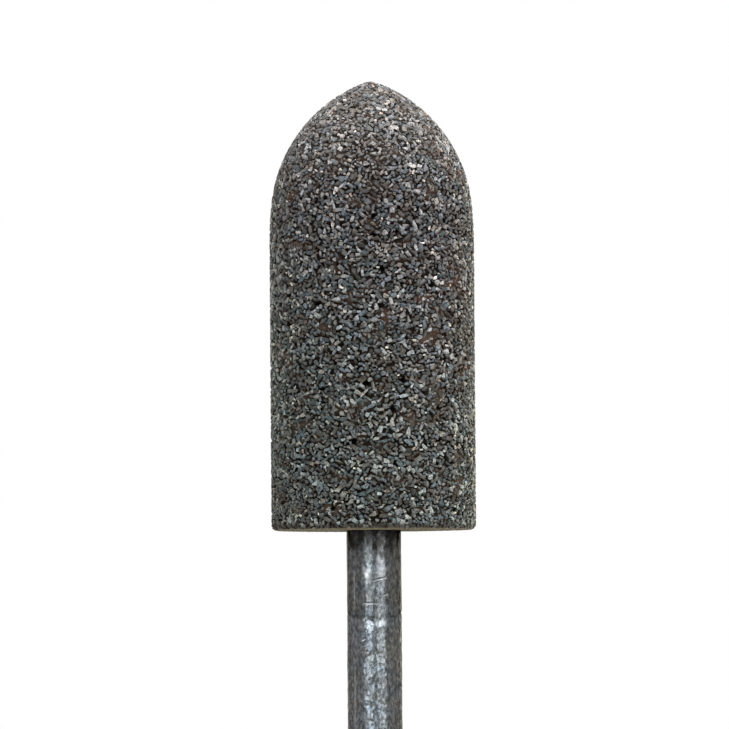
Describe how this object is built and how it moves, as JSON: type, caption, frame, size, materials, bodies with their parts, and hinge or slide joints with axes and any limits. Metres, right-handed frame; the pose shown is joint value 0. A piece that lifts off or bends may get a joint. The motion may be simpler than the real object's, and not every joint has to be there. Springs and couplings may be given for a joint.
{
  "type": "mounted point",
  "caption": "Bullet-nosed abrasive head cemented on a plain round steel shank, held in a collet to grind and deburr holes, edges and inside curves.",
  "frame": {"origin": "on the axis, in the plane of the head's base, where the shank enters the head", "axes": "+Z along the axis to the tip of the head, and the shank runs along -Z. X and Y lie across the axis, and are alike because the part is turned"},
  "size_m": [0.0226, 0.0226, 0.0898],
  "materials": {
    "bonded_abrasive": "coarse blue-grey grains in a dark brown bond, matt, with open pores",
    "shank_steel": "drawn bright steel, dulled and scuffed",
    "cement": "matt brown cement"
  },
  "bodies": {
    "root": {"abrasive_head": "bonded_abrasive", "shank": "shank_steel", "cement": "cement"}
  },
  "joints": []
}
